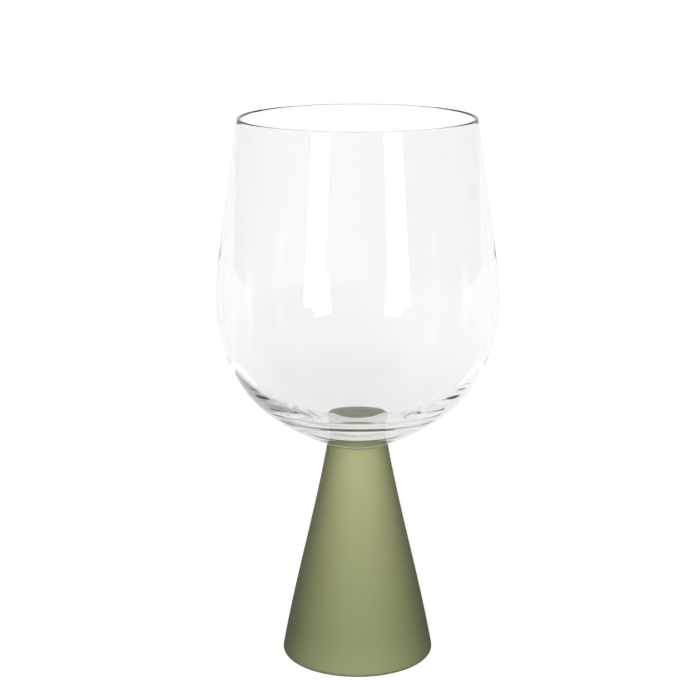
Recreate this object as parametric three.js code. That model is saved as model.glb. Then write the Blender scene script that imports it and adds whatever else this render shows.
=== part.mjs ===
// A wine glass: a clear blown bowl with a thick base, cemented onto a solid cone of tinted glass.
// Millimetres, +Z up. The origin is the centre of the face that the glass stands on.
import * as THREE from "three";

const { degToRad } = THREE.MathUtils;

// Every piece is turned about +Z.
const SEGMENTS = 64;
const CURVE_STEPS = 6;
const STEM_STEPS = 3;

// The face on which the bowl sits, and the clear film of cement under it.
const SEAT_HEIGHT = 72.45;
const CEMENT_RADIUS = 9.1;
const CEMENT_THICKNESS = 0.15;

// The stem is a cone whose sides swell a little near the foot and hollow a little near the neck.
const STEM_HEIGHT = SEAT_HEIGHT - CEMENT_THICKNESS;
const FOOT_RADIUS = 24.64;
const FOOT_ROUND = 1.5;
const NECK_RADIUS = 9.64;
const NECK_ROUND = 0.5;
const STEM_LEAN = 10; // of both ends of its side, in degrees inwards from upright
const STEM_REACH = 24.7; // how far up or down its side each end keeps that lean

// Its underside is ground hollow, so that it stands on a ring.
const STAND_RING_INNER = 17;
const HOLLOW_DEPTH = 0.8;

// Stations down the bowl's wall: the radius and height of its outside, the way that the outside
// faces in degrees above the horizontal, and the thickness of the glass there.
const HEIGHT = 177.4;
const LIP_ROUND = 0.55;
const RIM = { radius: 37.6, height: HEIGHT - LIP_ROUND, faces: 8.3, wall: 2 * LIP_ROUND };
const SHOULDER = { radius: 43.25, height: 138, faces: 8.3, wall: 1.1 };
const BELLY = { radius: 45, height: 120.6, faces: 0, wall: 1.36 };
const TURN = { radius: 32.95, height: 86.8, faces: -45, wall: 2.03 };
const SEAT_EDGE = { radius: 9.22, height: SEAT_HEIGHT, faces: -74.64 };

// Stations on the well's floor, which is nearly flat in the middle and thickens the glass under it.
const SLOPE = { radius: 17.25, height: SEAT_HEIGHT + 8.72, faces: -74 };
const RING = { radius: 9.16, height: SEAT_HEIGHT + 7.36, faces: -84.27 };
const MIDDLE = { radius: 0, height: SEAT_HEIGHT + 6.83, faces: -90 };

// How far the glass runs on straight to either side of a station before it bends.
const SHOULDER_REACH = 5.3;
const BELLY_REACH = { up: 6.8, down: 15.7, downInside: 21.4 };
const TURN_REACH = { up: 9, upInside: 5.42, down: 8.93, downInside: 1.55 };
const SEAT_REACH = 7.1;
const SLOPE_REACH = { up: 9.1, down: 3.31 };
const RING_REACH = { up: 2.56, down: 2.67 };
const MIDDLE_REACH = 2.72;

const CLEAR_GLASS = { color: 0xf2f5f2, roughness: 0.02, metalness: 0 };
const TINTED_GLASS = { color: 0xa9ad84, roughness: 0.35, metalness: 0 };
const CLEAR_CEMENT = { color: 0xd9dcc8, roughness: 0.2, metalness: 0 };

// A closed solid of revolution about +Z, from a profile that starts and ends on the axis.
function turned(name, profile, steps, look) {
  const geometry = new THREE.LatheGeometry(profile.getPoints(steps), SEGMENTS);
  geometry.rotateX(Math.PI / 2);
  const mesh = new THREE.Mesh(geometry, new THREE.MeshStandardMaterial(look));
  mesh.name = name;
  return mesh;
}

// The unit vector that stands this many degrees above the horizontal.
function heading(degrees) {
  return new THREE.Vector2(Math.cos(degToRad(degrees)), Math.sin(degToRad(degrees)));
}

// The place of a station, and the inside of the wall opposite to it.
function outside(station) {
  return new THREE.Vector2(station.radius, station.height);
}

function inside(station) {
  return outside(station).addScaledVector(heading(station.faces), -station.wall);
}

// A cubic from the path's end to a point, which leaves by one vector and arrives by another.
function curve(path, leave, arrive, end) {
  const first = path.currentPoint.clone().add(leave);
  const second = end.clone().sub(arrive);
  path.bezierCurveTo(first.x, first.y, second.x, second.y, end.x, end.y);
}

// A vector along the wall at a station, upwards where its length is positive.
function along(station, length) {
  return heading(station.faces + 90).multiplyScalar(length);
}

function makeStem() {
  const lean = degToRad(STEM_LEAN);
  const footCentre = FOOT_RADIUS - FOOT_ROUND;
  const neckCentre = NECK_RADIUS - (NECK_ROUND * (1 - Math.sin(lean))) / Math.cos(lean);
  const neckHeight = STEM_HEIGHT - NECK_ROUND;
  const neckStart = new THREE.Vector2(neckCentre, neckHeight).addScaledVector(heading(STEM_LEAN), NECK_ROUND);
  const climb = heading(90 + STEM_LEAN).multiplyScalar(STEM_REACH);

  const profile = new THREE.Path();
  profile.moveTo(0, HOLLOW_DEPTH);
  profile.quadraticCurveTo(STAND_RING_INNER / 2, HOLLOW_DEPTH, STAND_RING_INNER, 0);
  profile.absarc(footCentre, FOOT_ROUND, FOOT_ROUND, -Math.PI / 2, lean);
  curve(profile, climb, climb, neckStart);
  profile.absarc(neckCentre, neckHeight, NECK_ROUND, lean, Math.PI / 2);
  profile.lineTo(0, STEM_HEIGHT);
  return turned("stem", profile, STEM_STEPS, TINTED_GLASS);
}

function makeCement() {
  const profile = new THREE.Path();
  profile.moveTo(0, STEM_HEIGHT);
  profile.lineTo(CEMENT_RADIUS, STEM_HEIGHT);
  profile.lineTo(CEMENT_RADIUS, SEAT_HEIGHT);
  profile.lineTo(0, SEAT_HEIGHT);
  return turned("cement", profile, 1, CLEAR_CEMENT);
}

function makeBowl() {
  const profile = new THREE.Path();
  profile.moveTo(0, SEAT_HEIGHT);
  profile.lineTo(SEAT_EDGE.radius, SEAT_HEIGHT);
  curve(profile, along(SEAT_EDGE, SEAT_REACH), along(TURN, TURN_REACH.down), outside(TURN));
  curve(profile, along(TURN, TURN_REACH.up), along(BELLY, BELLY_REACH.down), outside(BELLY));
  curve(profile, along(BELLY, BELLY_REACH.up), along(SHOULDER, SHOULDER_REACH), outside(SHOULDER));
  profile.lineTo(RIM.radius, RIM.height);

  const overLip = along(RIM, (4 / 3) * LIP_ROUND);
  curve(profile, overLip, overLip.clone().negate(), inside(RIM));

  const innerShoulder = inside(SHOULDER);
  profile.lineTo(innerShoulder.x, innerShoulder.y);
  curve(profile, along(SHOULDER, -SHOULDER_REACH), along(BELLY, -BELLY_REACH.up), inside(BELLY));
  curve(profile, along(BELLY, -BELLY_REACH.downInside), along(TURN, -TURN_REACH.upInside), inside(TURN));
  curve(profile, along(TURN, -TURN_REACH.downInside), along(SLOPE, -SLOPE_REACH.up), outside(SLOPE));
  curve(profile, along(SLOPE, -SLOPE_REACH.down), along(RING, -RING_REACH.up), outside(RING));
  curve(profile, along(RING, -RING_REACH.down), along(MIDDLE, -MIDDLE_REACH), outside(MIDDLE));
  return turned("bowl", profile, CURVE_STEPS, CLEAR_GLASS);
}

const wineGlass = new THREE.Group();
wineGlass.name = "wine_glass";
wineGlass.add(makeStem(), makeCement(), makeBowl());

export default wineGlass;
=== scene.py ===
"""A wine glass: a clear blown bowl cemented onto a solid cone of satin sage-green glass.

Every piece is turned about +Z, in metres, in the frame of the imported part.
"""

import math

import bmesh
import bpy
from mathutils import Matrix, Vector
from mathutils.geometry import interpolate_bezier


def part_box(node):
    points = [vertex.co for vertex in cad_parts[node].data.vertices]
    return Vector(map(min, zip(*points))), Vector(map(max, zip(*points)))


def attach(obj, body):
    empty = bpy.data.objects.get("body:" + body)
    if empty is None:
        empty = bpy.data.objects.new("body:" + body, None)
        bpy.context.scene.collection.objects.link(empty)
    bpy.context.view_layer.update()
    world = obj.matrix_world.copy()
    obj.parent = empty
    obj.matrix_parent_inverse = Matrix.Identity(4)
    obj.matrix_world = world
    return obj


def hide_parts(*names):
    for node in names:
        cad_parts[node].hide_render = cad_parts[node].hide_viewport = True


bl_info = {
    "name": "Wine Glass",
    "version": (1, 0, 0),
    "blender": (4, 5, 0),
    "location": "3D View > Sidebar > Wine Glass",
    "description": "Builds a wine glass with a clear bowl on a satin green glass cone",
    "category": "Add Mesh",
}

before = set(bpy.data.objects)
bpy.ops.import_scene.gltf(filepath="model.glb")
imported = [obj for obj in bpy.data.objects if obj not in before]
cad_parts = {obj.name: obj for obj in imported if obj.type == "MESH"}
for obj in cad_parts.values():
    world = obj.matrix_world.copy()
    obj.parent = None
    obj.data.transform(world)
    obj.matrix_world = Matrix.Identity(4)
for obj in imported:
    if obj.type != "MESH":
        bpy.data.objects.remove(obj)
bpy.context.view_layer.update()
STEM_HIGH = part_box("stem")[1]
CEMENT_LOW, CEMENT_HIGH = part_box("cement")
BOWL_LOW, BOWL_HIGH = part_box("bowl")

MM = 0.001
SEGMENTS = 192  # around every turned piece
CURVE_STEPS = 28  # along each curve of the bowl's wall
ARC_STEPS = 18  # along each rounded edge
SHARP_ANGLE = math.radians(11)  # two faces that meet more steeply keep a crisp edge
MERGE_DISTANCE = 1e-7  # points nearer than this are one point

# Where the finishes, and the light painted on the stem, change over a piece
DRAWN_OUT = (1.0, 1.0, 0.12)  # stretches the bowl's pattern upwards into draw lines
THICK_GLASS = 26 * MM  # how far above the seat the wall is thick enough to look greyer
PAINTED_FOOT_LIGHT = (3 * MM, 12 * MM)  # the heights between which the painted light at the foot, for light bounced up from the floor, dies away
NECK_LIGHT_SPREAD = 1.6  # the higher, the nearer to the neck its painted light stays
BRIGHT_EDGE = 0.8 * MM  # how far below its top the cone's edge starts to shine
EDGE_ROUGHNESS = 0.1  # of that edge, at its top
SATIN_SPECULAR = 0.08  # how strongly the satin face mirrors
EDGE_SPECULAR = 0.5  # the same for the edge, at its top
SATIN_SPREAD = 0.04  # how much rougher and smoother than its setting the satin gets in patches

# Brightnesses of the floor and the surround, which differ for each kind of ray that meets them. An
# edge gives how far a ray goes some way where a change of brightness starts, and where it is done
FLOOR_CAST = 0.05  # the floor as it lights the pieces
FLOOR_MIRROR = 0.72  # the far floor as the glass mirrors it
FLOOR_EDGE = (-0.05, 0.15)  # in metres back from the axis, for the mirrored floor's brightening
AMBIENT = 0.02  # the surround as it lights the pieces, away from both key lights
KEY = (0.05, -0.94, 0.33)  # the way to the middle of the soft key light
BACK_KEY = (-0.25, 0.91, 0.33)  # the same for the softer light behind
KEY_EDGE = (0.85, 0.98)  # the soft border of both
SIDES = 0.05  # the surround at the sides as the pieces mirror it
FRONT_EDGE = (0.2, 0.9)  # from the sides to the brighter front, as the pieces mirror it
FAR_MIRROR = 0.85  # the surround behind as the pieces mirror it
MIRROR_EDGE = (0.45, 0.95)  # from the rest to that part
DARK = 0.3  # the surround as rays bent far aside by the glass see it
BACKDROP = (-0.5, 0.47, -0.73)  # the way to the part that bent rays see white
BACKDROP_EDGE = (-0.75, -0.25)  # from the dark part to that one
LIGHT_BOUNCES = 64  # thick glass turns light back many times before it lets it out

# The two tall soft strips
STRIPS = (("left_strip", -34), ("right_strip", 33))  # degrees around the axis from the front
STRIP_WIDTH = 0.45
STRIP_BOTTOM = 0.01
STRIP_TOP = 0.6
STRIP_AWAY = 1.5  # from the axis

# The camera
SENSOR_WIDTH = 36  # in millimetres, as is the lens
LENS = 94.72
SIDE_SHIFT = -0.0107  # as a share of the sensor's width
AIM_HEIGHT = 0.5785 * BOWL_HIGH.z  # of the point on the axis that it looks at


# Sizes and finishes that a user would change


class BowlSettings(bpy.types.PropertyGroup):
    """The clear bowl: its wall's stations, and its finish."""

    height: bpy.props.FloatProperty(
        name="Lip height",
        description="Height of the lip above the table",
        default=BOWL_HIGH.z,
        unit="LENGTH",
    )
    belly_radius: bpy.props.FloatProperty(
        name="Belly radius",
        description="Radius of the outside at its widest",
        default=BOWL_HIGH.x,
        unit="LENGTH",
    )
    seat_height: bpy.props.FloatProperty(
        name="Seat height",
        description="Height of the flat face that sits on the cement",
        default=BOWL_LOW.z,
        unit="LENGTH",
    )
    lip_round: bpy.props.FloatProperty(
        name="Lip rounding",
        description="Radius of the fire-polished lip",
        default=0.55 * MM,
        unit="LENGTH",
    )
    base_thickness: bpy.props.FloatProperty(
        name="Base thickness",
        description="Thickness of the glass on the axis",
        default=6.83 * MM,
        unit="LENGTH",
    )
    refraction: bpy.props.FloatProperty(
        name="Refractive index",
        description="Refractive index of the clear glass",
        default=1.51,
        min=1.0,
    )
    tint: bpy.props.FloatVectorProperty(
        name="Tint",
        description="Colour that the clear glass leaves in the light that passes it",
        subtype="COLOR",
        size=4,
        default=(0.967, 0.969, 0.965, 1.0),
    )
    base_tint: bpy.props.FloatVectorProperty(
        name="Base tint",
        description="The same at the seat, where the glass is thickest",
        subtype="COLOR",
        size=4,
        default=(0.885, 0.89, 0.87, 1.0),
    )
    waviness: bpy.props.FloatProperty(
        name="Waviness",
        description="Depth of the faint draw lines left by blowing",
        default=0.001 * MM,
        unit="LENGTH",
    )


class StemSettings(bpy.types.PropertyGroup):
    """The satin green cone, and the cement on top of it."""

    height: bpy.props.FloatProperty(
        name="Height",
        description="Height of the cone's flat top above the table",
        default=STEM_HIGH.z,
        unit="LENGTH",
    )
    foot_radius: bpy.props.FloatProperty(
        name="Foot radius",
        description="Radius of the cone at its widest",
        default=STEM_HIGH.x,
        unit="LENGTH",
    )
    neck_radius: bpy.props.FloatProperty(
        name="Neck radius",
        description="Radius of the cone at its flat top",
        default=9.64 * MM,
        unit="LENGTH",
    )
    colour: bpy.props.FloatVectorProperty(
        name="Colour",
        description="Colour of the green glass",
        subtype="COLOR",
        size=4,
        default=(0.196, 0.212, 0.101, 1.0),
    )
    # Painted light: the lighter colour at the foot stands in for light bounced up from the floor
    foot_lit_colour: bpy.props.FloatVectorProperty(
        name="Foot colour",
        description="Colour of the green glass at the table, where light comes in from below",
        subtype="COLOR",
        size=4,
        default=(0.225, 0.243, 0.125, 1.0),
    )
    # Painted light: the paler colour at the neck stands in for the light that falls more on the cone's
    # top
    neck_lit_colour: bpy.props.FloatVectorProperty(
        name="Neck colour",
        description="Colour of the green glass at the neck, where it is thinner and paler",
        subtype="COLOR",
        size=4,
        default=(0.32, 0.327, 0.172, 1.0),
    )
    roughness: bpy.props.FloatProperty(
        name="Satin roughness",
        description="Roughness of the satin face",
        default=0.55,
        min=0.0,
        max=1.0,
        subtype="FACTOR",
    )
    # Painted shade: this darkens the colour where the face is seen aslant, for the shade at the cone's
    # sides
    depth: bpy.props.FloatProperty(
        name="Depth",
        description="How much deeper the colour looks where the face is seen aslant",
        default=0.5,
        min=0.0,
        max=1.0,
        subtype="FACTOR",
    )
    cement_colour: bpy.props.FloatVectorProperty(
        name="Cement colour",
        description="Colour of the cured cement over the green glass",
        subtype="COLOR",
        size=4,
        default=(0.405, 0.42, 0.28, 1.0),
    )


class StudioSettings(bpy.types.PropertyGroup):
    """The floor, the light and the camera."""

    floor_colour: bpy.props.FloatVectorProperty(
        name="Floor",
        description="Colour of the pale floor",
        subtype="COLOR",
        size=4,
        default=(0.25, 0.25, 0.25, 1.0),
    )
    floor_glow: bpy.props.FloatProperty(
        name="Floor glow",
        description="Brightness of the light that comes up through the floor",
        default=0.89,
        min=0.0,
    )
    surround: bpy.props.FloatProperty(
        name="Surround",
        description="Brightness of the white surround where it shows, or shows through the glass",
        default=1.0,
        min=0.0,
    )
    fill: bpy.props.FloatProperty(
        name="Fill",
        description="Brightness of the surround in front as the pieces mirror it",
        default=0.55,
        min=0.0,
    )
    key: bpy.props.FloatProperty(
        name="Key",
        description="Brightness of the soft key light, which stands in front",
        default=6.8,
        min=0.0,
    )
    back_key: bpy.props.FloatProperty(
        name="Back key",
        description="Brightness of the soft light that stands behind",
        default=4.0,
        min=0.0,
    )
    strip_power: bpy.props.FloatProperty(
        name="Strip power",
        description="Power of each of the two tall soft lights",
        default=4.0,
        min=0.0,
        unit="POWER",
    )
    floor_reach: bpy.props.FloatProperty(
        name="Floor reach",
        description="Half of the floor's side",
        default=2.0,
        unit="LENGTH",
    )
    camera_pitch: bpy.props.FloatProperty(
        name="Camera pitch",
        description="How far the camera looks down",
        default=math.radians(13.947),
        subtype="ANGLE",
    )
    camera_distance: bpy.props.FloatProperty(
        name="Camera distance",
        description="From the camera to the point on the axis that it looks at",
        default=3.331 * BOWL_HIGH.z,
        unit="LENGTH",
    )


class WineGlassSettings(bpy.types.PropertyGroup):
    """Everything that the panel shows."""

    bowl: bpy.props.PointerProperty(type=BowlSettings, name="Bowl", description="The clear bowl")
    stem: bpy.props.PointerProperty(type=StemSettings, name="Stem", description="The green cone")
    studio: bpy.props.PointerProperty(
        type=StudioSettings,
        name="Studio",
        description="Floor, light and camera",
    )


# Profiles: a path is a list of points in the XZ plane, from one end of a turned shape to the other


def point(radius, height):
    """A place in the XZ plane."""
    return Vector((radius, 0.0, height))


def heading(degrees):
    """The unit vector in the XZ plane that stands this many degrees above the horizontal."""
    return point(math.cos(math.radians(degrees)), math.sin(math.radians(degrees)))


def add_curve(path, leave, arrive, end):
    """Run the path on to end by a cubic that leaves by one vector and arrives by another."""
    start = path[-1]
    path.extend(interpolate_bezier(start, start + leave, end - arrive, end, CURVE_STEPS + 1)[1:])


def add_line(path, end):
    """Run the path on straight, in short steps, so that the curves at its ends don't bend its shading."""
    third = (end - path[-1]) / 3
    add_curve(path, third, third, end)


def add_arc(path, centre, radius, start, end):
    """Run the path on along a circle's arc, between two angles in degrees."""
    for step in range(ARC_STEPS + 1):
        path.append(centre + heading(start + (end - start) * step / ARC_STEPS) * radius)


def turned(name, path):
    """A closed piece made by turning a path about +Z, which rides on the frame's only body."""
    shape = bmesh.new()
    corners = [shape.verts.new(place) for place in path]
    edges = [shape.edges.new(pair) for pair in zip(corners, corners[1:])]
    bmesh.ops.spin(
        shape,
        geom=corners + edges,
        cent=(0, 0, 0),
        axis=(0, 0, 1),
        angle=math.tau,
        steps=SEGMENTS,
        use_merge=True,
    )
    bmesh.ops.remove_doubles(shape, verts=shape.verts, dist=MERGE_DISTANCE)
    bmesh.ops.recalc_face_normals(shape, faces=shape.faces)
    mesh = bpy.data.meshes.new(name)
    shape.to_mesh(mesh)
    shape.free()
    mesh.shade_smooth()
    mesh.set_sharp_from_angle(angle=SHARP_ANGLE)
    piece = bpy.data.objects.new(name, mesh)
    bpy.context.scene.collection.objects.link(piece)
    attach(piece, "root")
    return piece


# The bowl's wall. At each station the path has a place, and runs on in a straight line for a reach
# to either side before it bends


class Station:
    """A place on the wall's outside, which faces so many degrees above the horizontal, and its inside."""

    def __init__(self, radius, height, faces, wall=0.0):
        self.outside = point(radius, height)
        self.inside = self.outside - heading(faces) * wall
        self.up = heading(faces + 90)


def bowl_path(bowl):
    """The bowl's profile, from the seat's centre up its outside, over the lip and down its inside."""
    seat = bowl.seat_height
    lean = 8.3  # of the straight wall between the shoulder and the rim, inwards from upright
    shoulder_reach = 5.3 * MM
    belly_reach = 6.8 * MM

    edge = Station(9.22 * MM, seat, -74.64)
    turn = Station(32.95 * MM, seat + 14.35 * MM, -45, 2.03 * MM)
    belly = Station(bowl.belly_radius, seat + 48.15 * MM, 0, 1.36 * MM)
    shoulder = Station(43.25 * MM, seat + 65.55 * MM, lean, 1.1 * MM)
    rim = Station(37.6 * MM, bowl.height - bowl.lip_round, lean, 2 * bowl.lip_round)
    slope = Station(17.25 * MM, seat + 8.72 * MM, -74)
    ring = Station(9.16 * MM, seat + 7.36 * MM, -84.27)
    middle = point(0, seat + bowl.base_thickness)

    path = [point(0, seat), edge.outside]
    add_curve(path, edge.up * 7.1 * MM, turn.up * 8.93 * MM, turn.outside)
    add_curve(path, turn.up * 9 * MM, belly.up * 15.7 * MM, belly.outside)
    add_curve(path, belly.up * belly_reach, shoulder.up * shoulder_reach, shoulder.outside)
    add_line(path, rim.outside)
    add_arc(path, (rim.outside + rim.inside) / 2, bowl.lip_round, lean, lean + 180)
    add_line(path, shoulder.inside)
    add_curve(path, shoulder.up * -shoulder_reach, belly.up * -belly_reach, belly.inside)
    add_curve(path, belly.up * -21.4 * MM, turn.up * -5.42 * MM, turn.inside)
    add_curve(path, turn.up * -1.55 * MM, slope.up * -9.1 * MM, slope.outside)
    add_curve(path, slope.up * -3.31 * MM, ring.up * -2.56 * MM, ring.outside)
    add_curve(path, ring.up * -2.67 * MM, point(-2.72 * MM, 0), middle)
    return path


def stem_path(stem):
    """The cone's profile, from its hollow underside round the foot and up to its flat top's centre."""
    lean = 10  # of both ends of its side, inwards from upright
    side_reach = 24.7 * MM
    foot_round = 1.5 * MM
    neck_round = 0.5 * MM
    hollow_depth = 0.8 * MM
    hollow_reach = 5.7 * MM
    hollow_fall = 0.53 * MM
    ring_inside = 17 * MM

    slant = math.radians(lean)
    foot_centre = point(stem.foot_radius - foot_round, foot_round)
    neck_inset = neck_round * (1 - math.sin(slant)) / math.cos(slant)
    neck_centre = point(stem.neck_radius - neck_inset, stem.height - neck_round)
    climb = heading(90 + lean) * side_reach

    path = [point(0, hollow_depth)]
    add_curve(path, point(hollow_reach, 0), point(hollow_reach, -hollow_fall), point(ring_inside, 0))
    add_arc(path, foot_centre, foot_round, -90, lean)
    add_curve(path, climb, climb, neck_centre + heading(lean) * neck_round)
    add_arc(path, neck_centre, neck_round, lean, 90)
    path.append(point(0, stem.height))
    return path


def cement_path():
    """The cement's profile. It stands a hair into both pieces, so that no air shows between them."""
    sunk = 0.01 * MM
    low = CEMENT_LOW.z - sunk
    high = CEMENT_HIGH.z + sunk
    radius = CEMENT_HIGH.x
    return [point(0, low), point(radius, low), point(radius, high), point(0, high)]


# Finishes


def add_node(tree, kind, **settings):
    """A new node of this kind, with these attributes."""
    node = tree.nodes.new(kind)
    for name, value in settings.items():
        setattr(node, name, value)
    return node


def feed(tree, socket, source):
    """Link an output to an input, or set the input's own value."""
    if isinstance(source, bpy.types.NodeSocket):
        tree.links.new(source, socket)
    else:
        socket.default_value = source


def add_noise(tree, vector, scale, detail):
    """Soft noise over a vector, from 0 to 1."""
    noise = add_node(tree, "ShaderNodeTexNoise")
    feed(tree, noise.inputs["Vector"], vector)
    feed(tree, noise.inputs["Scale"], scale)
    feed(tree, noise.inputs["Detail"], detail)
    return noise.outputs["Fac"]


def add_range(tree, value, low, high, start=0.0, end=1.0):
    """A value stretched from one range to another, and held inside it."""
    stretch = add_node(tree, "ShaderNodeMapRange", clamp=True)
    feed(tree, stretch.inputs["Value"], value)
    feed(tree, stretch.inputs["From Min"], low)
    feed(tree, stretch.inputs["From Max"], high)
    feed(tree, stretch.inputs["To Min"], start)
    feed(tree, stretch.inputs["To Max"], end)
    return stretch.outputs["Result"]


def add_mix(tree, share, first, second):
    """A colour part of the way from the first to the second."""
    mix = add_node(tree, "ShaderNodeMix", data_type="RGBA")
    feed(tree, mix.inputs["Factor"], share)
    feed(tree, mix.inputs[6], first)  # the colour sockets share their names with the number ones
    feed(tree, mix.inputs[7], second)
    return mix.outputs[2]


def add_blend(tree, share, first, second):
    """A number part of the way from the first to the second."""
    blend = add_node(tree, "ShaderNodeMix", data_type="FLOAT")
    feed(tree, blend.inputs["Factor"], share)
    feed(tree, blend.inputs["A"], first)
    feed(tree, blend.inputs["B"], second)
    return blend.outputs["Result"]


def drift_group():
    """The pattern that all the finishes share: soft cloudy drift, and a height with fine grain in it."""
    found = bpy.data.node_groups.get("Glass Drift")
    if found:
        return found
    group = bpy.data.node_groups.new("Glass Drift", "ShaderNodeTree")
    group.interface.new_socket("Vector", in_out="INPUT", socket_type="NodeSocketVector")
    for name in ("Cloud Scale", "Grain Scale", "Grain Share"):
        group.interface.new_socket(name, in_out="INPUT", socket_type="NodeSocketFloat")
    for name in ("Mask", "Height"):
        group.interface.new_socket(name, in_out="OUTPUT", socket_type="NodeSocketFloat")

    given = add_node(group, "NodeGroupInput").outputs
    made = add_node(group, "NodeGroupOutput").inputs
    cloud = add_noise(group, given["Vector"], given["Cloud Scale"], detail=3.0)
    grain = add_noise(group, given["Vector"], given["Grain Scale"], detail=2.0)
    feed(group, made["Mask"], add_range(group, cloud, 0.3, 0.7))
    feed(group, made["Height"], add_blend(group, given["Grain Share"], cloud, grain))
    return group


def add_drift(tree, cloud_scale, grain_scale, grain_share, stretch=(1.0, 1.0, 1.0)):
    """The shared pattern over a piece, with its places scaled by stretch: its mask and its height."""
    places = add_node(tree, "ShaderNodeTexCoord").outputs["Object"]
    mapping = add_node(tree, "ShaderNodeMapping")
    feed(tree, mapping.inputs["Vector"], places)
    feed(tree, mapping.inputs["Scale"], stretch)
    drift = add_node(tree, "ShaderNodeGroup", node_tree=drift_group())
    feed(tree, drift.inputs["Vector"], mapping.outputs["Vector"])
    feed(tree, drift.inputs["Cloud Scale"], cloud_scale)
    feed(tree, drift.inputs["Grain Scale"], grain_scale)
    feed(tree, drift.inputs["Grain Share"], grain_share)
    return drift.outputs["Mask"], drift.outputs["Height"]


def add_bump(tree, shader, height, depth):
    """Relief of the given depth under a shader."""
    bump = add_node(tree, "ShaderNodeBump")
    feed(tree, bump.inputs["Distance"], depth)
    feed(tree, bump.inputs["Height"], height)
    feed(tree, shader.inputs["Normal"], bump.outputs["Normal"])


def add_height(tree):
    """The height of each place on a piece above the table."""
    places = add_node(tree, "ShaderNodeSeparateXYZ")
    feed(tree, places.inputs["Vector"], add_node(tree, "ShaderNodeTexCoord").outputs["Object"])
    return places.outputs["Z"]


def grey(value):
    """A grey of this brightness, as a colour."""
    return (value, value, value, 1.0)


def add_by_ray(tree, seen, mirrored, bent, lighting):
    """A colour for rays that see it straight, that are mirrored or bent by a piece, or that light one.

    A ray that clear glass bends also counts as a glossy one, so the bent colour is mixed in later.
    """
    light_path = add_node(tree, "ShaderNodeLightPath").outputs
    colour = add_mix(tree, light_path["Is Glossy Ray"], seen, mirrored)
    colour = add_mix(tree, light_path["Is Transmission Ray"], colour, bent)
    return add_mix(tree, light_path["Is Diffuse Ray"], colour, lighting)


def add_towards(tree, vector, way, edge):
    """How far a vector goes a given way, from 0 at the edge's first value to 1 at its second."""
    along = add_node(tree, "ShaderNodeVectorMath", operation="DOT_PRODUCT")
    feed(tree, along.inputs[0], vector)
    feed(tree, along.inputs[1], way)
    return add_range(tree, along.outputs["Value"], *edge)


def new_finish(name):
    """A new node material: the material, its tree and its Principled shader."""
    material = bpy.data.materials.new(name)
    material.use_nodes = True
    return material, material.node_tree, material.node_tree.nodes["Principled BSDF"]


def shaded(colour, factor):
    """The colour made lighter or darker by a factor."""
    return (colour[0] * factor, colour[1] * factor, colour[2] * factor, 1.0)


def add_mottle(tree, mask, colour, darkest, lightest=1.0):
    """A colour that drifts between two shades of itself, given as factors."""
    return add_mix(tree, mask, shaded(colour, darkest), shaded(colour, lightest))


def clear_glass(bowl):
    """Clear blown glass: faint upright draw lines, and a breath of drift in its clarity."""
    material, tree, shader = new_finish("clear blown glass")
    mask, height = add_drift(
        tree,
        cloud_scale=110.0,
        grain_scale=420.0,
        grain_share=0.25,
        stretch=DRAWN_OUT,
    )
    thinness = add_range(tree, add_height(tree), bowl.seat_height, bowl.seat_height + THICK_GLASS)
    clearest = add_mottle(tree, mask, bowl.tint, darkest=0.995)
    feed(tree, shader.inputs["Base Color"], add_mix(tree, thinness, tuple(bowl.base_tint), clearest))
    shader.inputs["Transmission Weight"].default_value = 1.0
    shader.inputs["Roughness"].default_value = 0.0
    shader.inputs["IOR"].default_value = bowl.refraction
    add_bump(tree, shader, height, bowl.waviness)
    return material


def satin_glass(stem):
    """Satin green glass: soft mottling, patchy sheen, a fine etched grain and a polished top edge. Its
    colour holds painted light, lighter at the foot and towards the neck, and painted shade, darker where
    the face is seen aslant.
    """
    material, tree, shader = new_finish("satin green glass")
    mask, height = add_drift(tree, cloud_scale=45.0, grain_scale=2600.0, grain_share=0.6)
    up = add_height(tree)
    foot, middle, neck = [
        add_mottle(tree, mask, colour, darkest=0.98, lightest=1.02)
        for colour in (stem.foot_lit_colour, stem.colour, stem.neck_lit_colour)
    ]
    # Painted light: the colour gets paler towards the neck, for the light that falls more on the top
    painted_neck_light = add_node(tree, "ShaderNodeMath", operation="POWER")
    feed(tree, painted_neck_light.inputs[0], add_range(tree, up, 0.0, stem.height))
    feed(tree, painted_neck_light.inputs[1], NECK_LIGHT_SPREAD)
    above_foot = add_mix(tree, painted_neck_light.outputs["Value"], middle, neck)
    # Painted light: the foot's lighter colour, for light bounced up from the floor, fades out above it
    seen_square = add_mix(tree, add_range(tree, up, *PAINTED_FOOT_LIGHT), foot, above_foot)
    # Painted shade: the colour darkens towards black, by up to depth, where the face is seen aslant
    aslant = add_node(tree, "ShaderNodeLayerWeight").outputs["Facing"]
    darker_by_painted_shade = add_range(tree, aslant, 0.0, 1.0, end=stem.depth)
    feed(tree, shader.inputs["Base Color"], add_mix(tree, darker_by_painted_shade, seen_square, grey(0.0)))

    smoothest = stem.roughness - SATIN_SPREAD
    roughest = stem.roughness + SATIN_SPREAD
    satin = add_range(tree, mask, 0.0, 1.0, start=smoothest, end=roughest)
    top_edge = add_range(tree, up, stem.height - BRIGHT_EDGE, stem.height)
    feed(tree, shader.inputs["Roughness"], add_blend(tree, top_edge, satin, EDGE_ROUGHNESS))
    mirroring = add_range(tree, top_edge, 0.0, 1.0, start=SATIN_SPECULAR, end=EDGE_SPECULAR)
    feed(tree, shader.inputs["Specular IOR Level"], mirroring)
    add_bump(tree, shader, height, depth=0.012 * MM)
    return material


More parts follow.
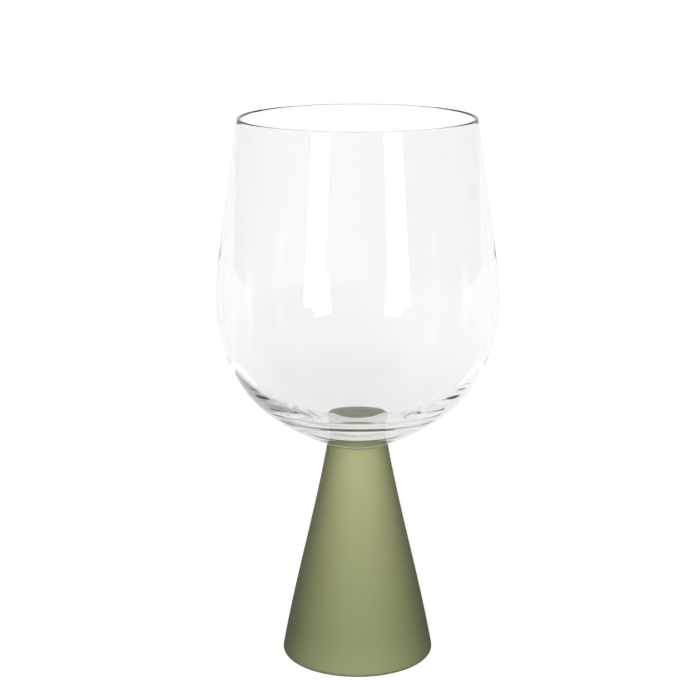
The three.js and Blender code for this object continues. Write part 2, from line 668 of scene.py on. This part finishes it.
def cured_cement(stem):
    """Cured cement over green glass: pale, a little cloudy and rough."""
    material, tree, shader = new_finish("cured cement")
    mask, height = add_drift(tree, cloud_scale=260.0, grain_scale=1800.0, grain_share=0.4)
    cloudy = add_mottle(tree, mask, stem.cement_colour, darkest=0.94, lightest=1.06)
    feed(tree, shader.inputs["Base Color"], cloudy)
    feed(tree, shader.inputs["Roughness"], add_range(tree, mask, 0.0, 1.0, start=0.35, end=0.5))
    add_bump(tree, shader, height, depth=0.01 * MM)
    return material


def pale_floor(studio):
    """A pale floor lit from below, with the faintest mottling. It shows brighter than it lights."""
    material, tree, shader = new_finish("pale floor")
    mask, _ = add_drift(tree, cloud_scale=12.0, grain_scale=90.0, grain_share=0.3)
    mottled = add_mottle(tree, mask, studio.floor_colour, darkest=0.995)
    feed(tree, shader.inputs["Base Color"], mottled)
    shader.inputs["Roughness"].default_value = 1.0
    shader.inputs["Specular IOR Level"].default_value = 0.0
    places = add_node(tree, "ShaderNodeTexCoord").outputs["Object"]
    far = add_towards(tree, places, (0.0, 1.0, 0.0), FLOOR_EDGE)
    mirrored = add_mix(tree, far, grey(FLOOR_CAST), grey(FLOOR_MIRROR))
    glow = grey(studio.floor_glow)
    feed(tree, shader.inputs["Emission Color"], add_by_ray(tree, glow, mirrored, glow, grey(FLOOR_CAST)))
    shader.inputs["Emission Strength"].default_value = 1.0
    return material


# Studio


def add_strip(name, azimuth, power):
    """A tall soft light, turned towards the axis of the glass."""
    light = bpy.data.lights.new(name, "AREA")
    light.shape = "RECTANGLE"
    light.size = STRIP_WIDTH
    light.size_y = STRIP_TOP - STRIP_BOTTOM
    light.energy = power
    around = math.radians(azimuth)
    place = Vector((math.sin(around), -math.cos(around), 0)) * STRIP_AWAY
    place.z = (STRIP_TOP + STRIP_BOTTOM) / 2
    lamp = bpy.data.objects.new(name, light)
    bpy.context.scene.collection.objects.link(lamp)
    lamp.location = place
    lamp.rotation_euler = Vector((-place.x, -place.y, 0)).to_track_quat("-Z", "Y").to_euler()


def add_surround(studio):
    """A surround that shows white when it is seen straight, and is dimmer in other ways.

    It is bright in front and behind where the pieces mirror it, white where the clear glass bends the
    view of what is behind, and lights the pieces from the two key lights.
    """
    world = bpy.data.worlds.new("white surround")
    bpy.context.scene.world = world
    world.use_nodes = True
    tree = world.node_tree
    way = add_node(tree, "ShaderNodeTexCoord").outputs["Generated"]
    white = grey(studio.surround)

    bent = add_mix(tree, add_towards(tree, way, BACKDROP, BACKDROP_EDGE), grey(DARK), white)

    ahead = add_towards(tree, way, (0.0, -1.0, 0.0), FRONT_EDGE)
    behind = add_towards(tree, way, (0.0, 1.0, 0.0), MIRROR_EDGE)
    mirrored = add_mix(tree, ahead, grey(SIDES), grey(studio.fill))
    mirrored = add_mix(tree, behind, mirrored, grey(FAR_MIRROR))

    lighting = add_mix(tree, add_towards(tree, way, KEY, KEY_EDGE), grey(AMBIENT), grey(studio.key))
    by_back_key = add_towards(tree, way, BACK_KEY, KEY_EDGE)
    lighting = add_mix(tree, by_back_key, lighting, grey(studio.back_key))

    background = tree.nodes["Background"]
    feed(tree, background.inputs["Color"], add_by_ray(tree, white, mirrored, bent, lighting))
    background.inputs["Strength"].default_value = 1.0


def add_floor(studio):
    """A wide pale floor at the height that the glass stands on."""
    shape = bmesh.new()
    bmesh.ops.create_grid(shape, x_segments=1, y_segments=1, size=studio.floor_reach)
    mesh = bpy.data.meshes.new("studio_floor")
    shape.to_mesh(mesh)
    shape.free()
    floor = bpy.data.objects.new("studio_floor", mesh)
    bpy.context.scene.collection.objects.link(floor)
    floor.data.materials.append(pale_floor(studio))


def add_camera(studio):
    """A long lens that looks down a little at the glass."""
    camera = bpy.data.cameras.new("studio_camera")
    camera.sensor_width = SENSOR_WIDTH
    camera.lens = LENS
    camera.shift_x = SIDE_SHIFT
    camera.dof.use_dof = False
    back = Vector((0, -math.cos(studio.camera_pitch), math.sin(studio.camera_pitch)))
    eye = bpy.data.objects.new("studio_camera", camera)
    bpy.context.scene.collection.objects.link(eye)
    eye.location = point(0, AIM_HEIGHT) + back * studio.camera_distance
    eye.rotation_euler = (math.pi / 2 - studio.camera_pitch, 0, 0)
    bpy.context.scene.camera = eye


# Operators, one for each piece and one for the stage


class WINEGLASS_OT_stem(bpy.types.Operator):
    """Turn the satin green cone that is both stem and foot"""

    bl_idname = "wine_glass.stem"
    bl_label = "Stem"

    def execute(self, context):
        settings = context.scene.wine_glass.stem
        piece = turned("glass_stem", stem_path(settings))
        piece.data.materials.append(satin_glass(settings))
        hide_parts("stem")
        return {"FINISHED"}


class WINEGLASS_OT_cement(bpy.types.Operator):
    """Turn the disc of cement between the stem and the bowl"""

    bl_idname = "wine_glass.cement"
    bl_label = "Cement"

    def execute(self, context):
        piece = turned("glass_cement", cement_path())
        piece.data.materials.append(cured_cement(context.scene.wine_glass.stem))
        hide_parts("cement")
        return {"FINISHED"}


class WINEGLASS_OT_bowl(bpy.types.Operator):
    """Turn the clear blown bowl"""

    bl_idname = "wine_glass.bowl"
    bl_label = "Bowl"

    def execute(self, context):
        settings = context.scene.wine_glass.bowl
        piece = turned("glass_bowl", bowl_path(settings))
        piece.data.materials.append(clear_glass(settings))
        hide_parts("bowl")
        return {"FINISHED"}


class WINEGLASS_OT_studio(bpy.types.Operator):
    """Set up the pale floor, the soft light and the camera"""

    bl_idname = "wine_glass.studio"
    bl_label = "Studio"

    def execute(self, context):
        studio = context.scene.wine_glass.studio
        add_floor(studio)
        add_surround(studio)
        for name, azimuth in STRIPS:
            add_strip(name, azimuth, studio.strip_power)
        add_camera(studio)
        context.scene.view_settings.view_transform = "Standard"
        cycles = context.scene.cycles
        cycles.max_bounces = LIGHT_BOUNCES
        cycles.transmission_bounces = LIGHT_BOUNCES
        cycles.glossy_bounces = LIGHT_BOUNCES
        return {"FINISHED"}


class WINEGLASS_PT_panel(bpy.types.Panel):
    """Builds the wine glass and its studio"""

    bl_idname = "WINEGLASS_PT_panel"
    bl_label = "Wine Glass"
    bl_space_type = "VIEW_3D"
    bl_region_type = "UI"
    bl_category = "Wine Glass"

    def draw(self, context):
        settings = context.scene.wine_glass
        for group, operators in (
            (settings.stem, (WINEGLASS_OT_stem, WINEGLASS_OT_cement)),
            (settings.bowl, (WINEGLASS_OT_bowl,)),
            (settings.studio, (WINEGLASS_OT_studio,)),
        ):
            box = self.layout.box()
            for name in group.__annotations__:
                box.prop(group, name)
            for kind in operators:
                box.operator(kind.bl_idname)


CLASSES = (
    BowlSettings,
    StemSettings,
    StudioSettings,
    WineGlassSettings,
    WINEGLASS_OT_stem,
    WINEGLASS_OT_cement,
    WINEGLASS_OT_bowl,
    WINEGLASS_OT_studio,
    WINEGLASS_PT_panel,
)


def register():
    """Add the settings, operators and panel to Blender."""
    for kind in CLASSES:
        bpy.utils.register_class(kind)
    bpy.types.Scene.wine_glass = bpy.props.PointerProperty(type=WineGlassSettings)


def unregister():
    """Take them away again."""
    del bpy.types.Scene.wine_glass
    for kind in reversed(CLASSES):
        bpy.utils.unregister_class(kind)


def main():
    """Build every piece and the studio."""
    register()
    bpy.ops.wine_glass.stem()
    bpy.ops.wine_glass.cement()
    bpy.ops.wine_glass.bowl()
    bpy.ops.wine_glass.studio()


if __name__ == "__main__":
    main()
